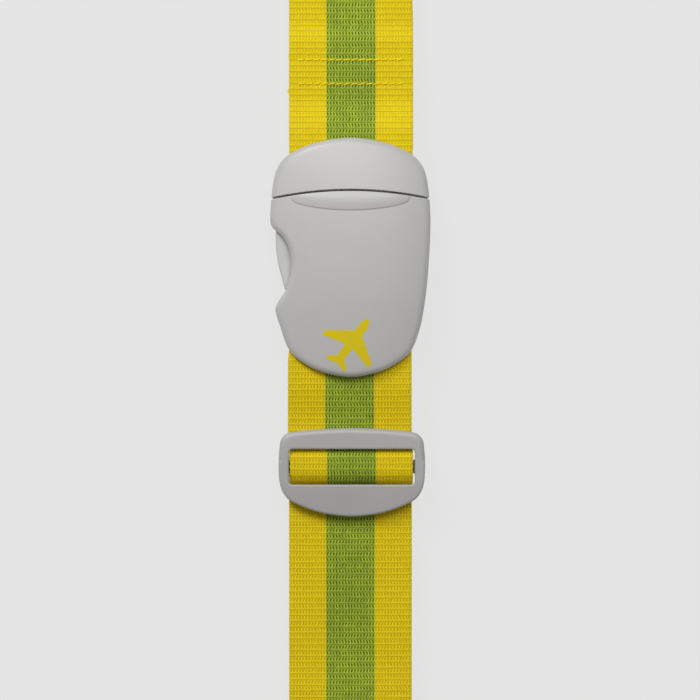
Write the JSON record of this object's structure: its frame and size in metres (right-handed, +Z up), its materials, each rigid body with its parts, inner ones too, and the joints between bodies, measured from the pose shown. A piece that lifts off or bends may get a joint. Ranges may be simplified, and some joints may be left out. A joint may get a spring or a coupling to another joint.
{
  "type": "luggage strap",
  "caption": "Webbing luggage strap with a side-release buckle and tri-glide slider, spare length folded beneath as a flat hank.",
  "frame": {"origin": "on the resting surface, under the middle of the strap's bounding box", "axes": "+Y along the strap towards the buckle's tongue half, +X across the webbing to the right, +Z up out of the buckle's face"},
  "size_m": [0.0656, 0.316, 0.0255],
  "materials": {
    "shell_grey": "satin moulded plastic",
    "inner_grey": "satin moulded plastic",
    "slider_grey": "satin moulded plastic",
    "webbing": "ribbed woven webbing, yellow with a green middle stripe",
    "thread": "twisted sewing thread",
    "band": "flat knitted elastic"
  },
  "bodies": {
    "strap": {"housing_front_shell": "shell_grey", "housing_back_plate": "inner_grey", "webbing_hank": "webbing", "webbing_lower_run": "webbing", "webbing_adjuster_loop": "webbing", "storage_band": "band"},
    "tongue": {"tongue_cap": "shell_grey", "tongue_body": "inner_grey", "webbing_upper_run": "webbing", "stitch_row_tongue_end": "thread", "stitch_row_tongue_near": "thread"},
    "latch": {"latch_prong": "inner_grey"},
    "slider": {"slider_frame": "slider_grey", "webbing_slider_hump": "webbing", "webbing_slider_loop": "webbing", "stitch_row_slider": "thread"}
  },
  "joints": [
    {"name": "tongue_slide", "type": "slide", "parent": "strap", "child": "tongue", "axis": [0, 1, 0], "range_m": [0, 0.045], "deforming": ["latch_prong"]},
    {"name": "latch_flex", "type": "hinge", "parent": "tongue", "child": "latch", "pos_m": [-0.0257, 0.066, 0.0143], "axis": [0, 0, 1], "range_deg": [0, 9], "stiffness_Nm_per_rad": 1.5},
    {"name": "slider_adjust", "type": "slide", "parent": "strap", "child": "slider", "axis": [0, 1, 0], "range_m": [-0.03, 0.01], "deforming": ["webbing_adjuster_loop", "webbing_lower_run"]}
  ]
}
